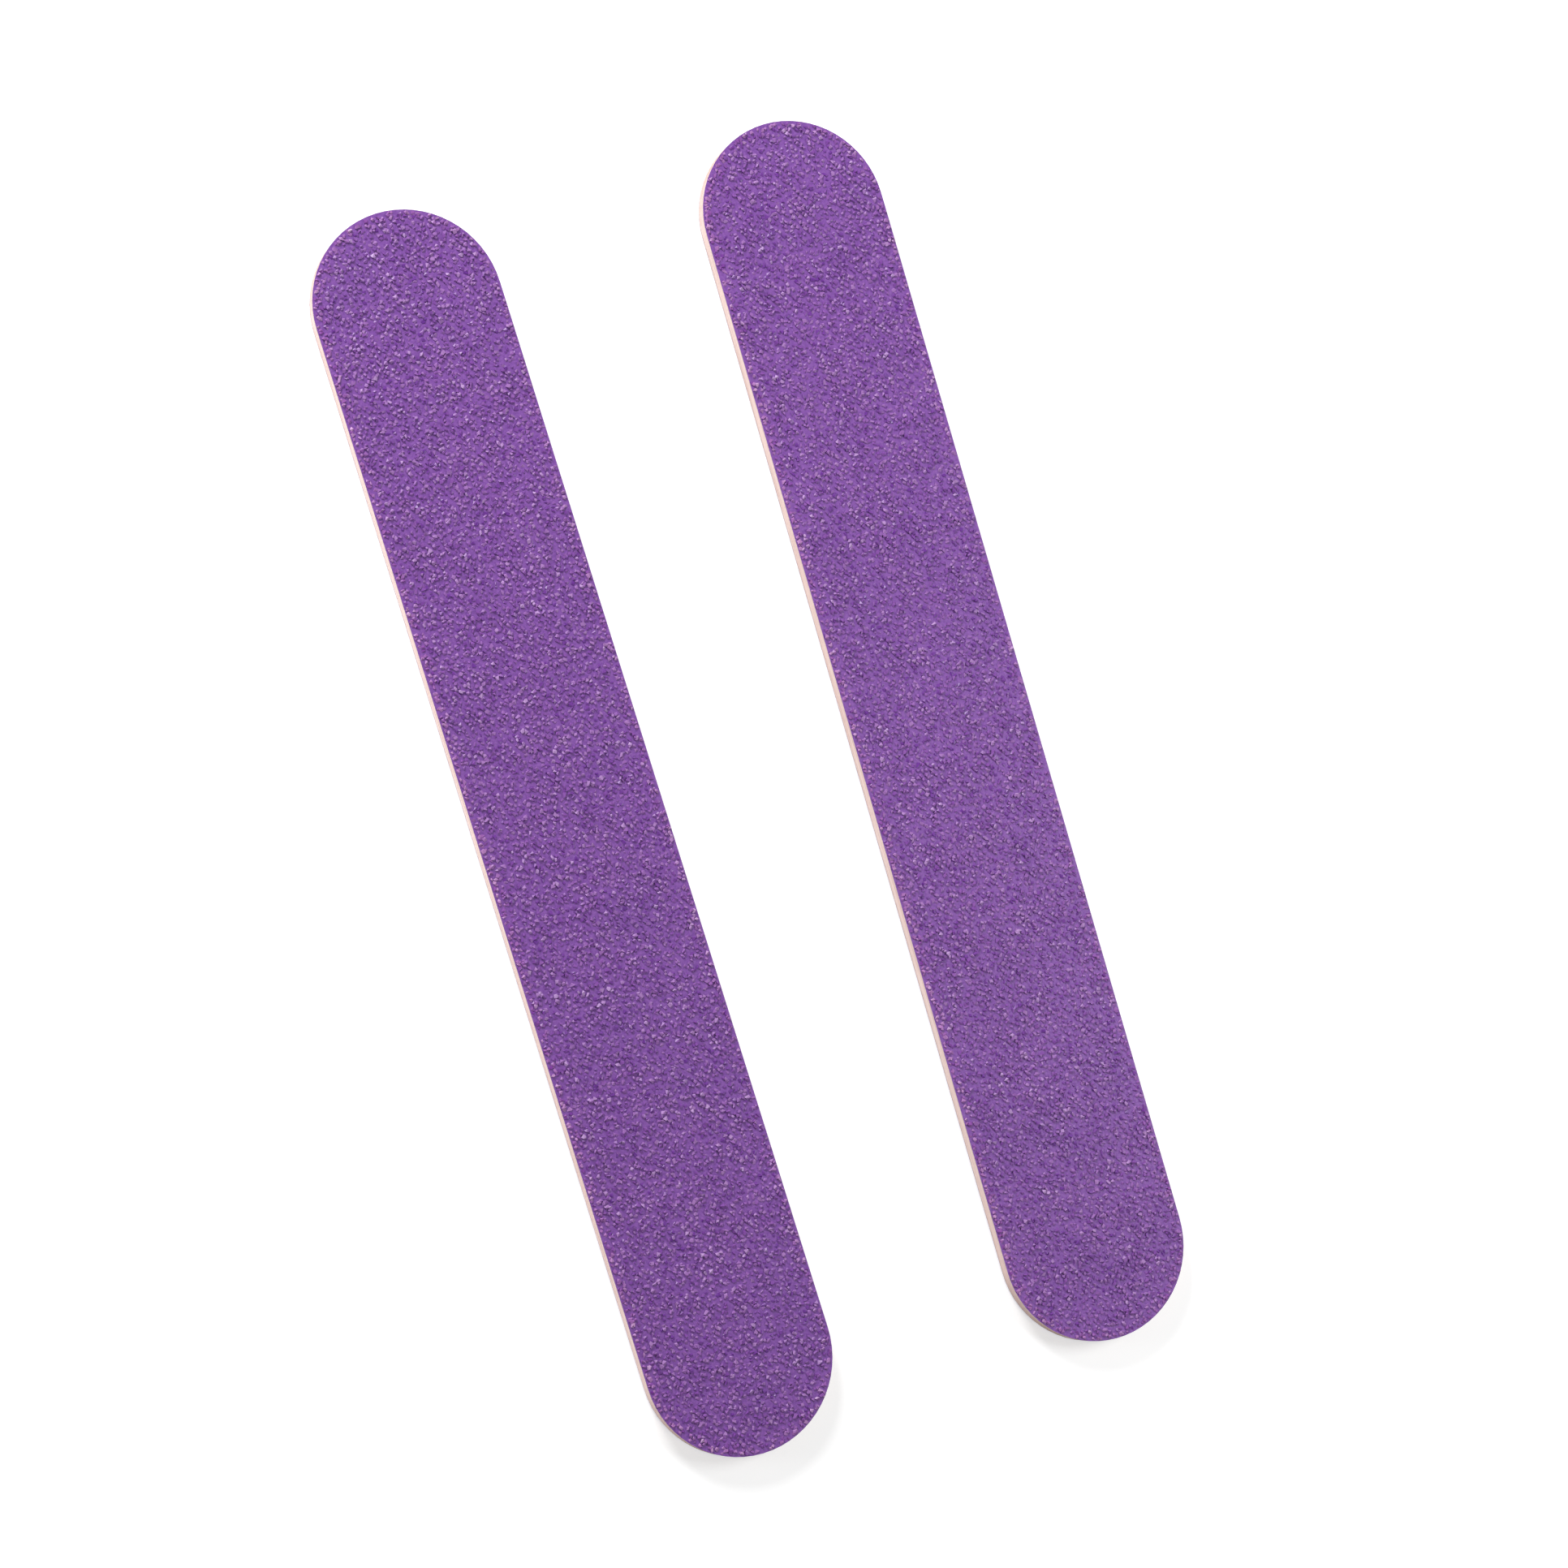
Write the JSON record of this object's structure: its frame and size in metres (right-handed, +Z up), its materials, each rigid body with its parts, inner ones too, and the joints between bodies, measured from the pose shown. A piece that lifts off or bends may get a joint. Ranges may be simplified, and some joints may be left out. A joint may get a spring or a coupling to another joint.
{
  "type": "emery board",
  "caption": "Flat round-ended emery boards lying side by side: a thin wood core with purple abrasive paper glued to both faces, for filing nails.",
  "frame": {"origin": "middle of the pair's box on the surface that the boards lie on", "axes": "+Y along the boards towards the ends that lie further apart, +X from the left board to the right one, +Z up through the faces"},
  "size_m": [0.0416, 0.0884, 0.0016],
  "materials": {
    "purple_grit": "matte",
    "bond_resin": "matte",
    "backing_paper": "matte",
    "glue": "satin",
    "pale_wood": "matte"
  },
  "bodies": {
    "left_board": {"left_lower_grit": "purple_grit", "left_lower_bond_coat": "bond_resin", "left_lower_backing_paper": "backing_paper", "left_lower_glue_film": "glue", "left_wood_core": "pale_wood", "left_upper_glue_film": "glue", "left_upper_backing_paper": "backing_paper", "left_upper_bond_coat": "bond_resin", "left_upper_grit": "purple_grit"},
    "right_board": {"right_lower_grit": "purple_grit", "right_lower_bond_coat": "bond_resin", "right_lower_backing_paper": "backing_paper", "right_lower_glue_film": "glue", "right_wood_core": "pale_wood", "right_upper_glue_film": "glue", "right_upper_backing_paper": "backing_paper", "right_upper_bond_coat": "bond_resin", "right_upper_grit": "purple_grit"}
  },
  "joints": [
    {"name": "right_board_lift", "type": "slide", "parent": "left_board", "child": "right_board", "axis": [0, 0, 1], "range_m": [0, 0.03]}
  ]
}
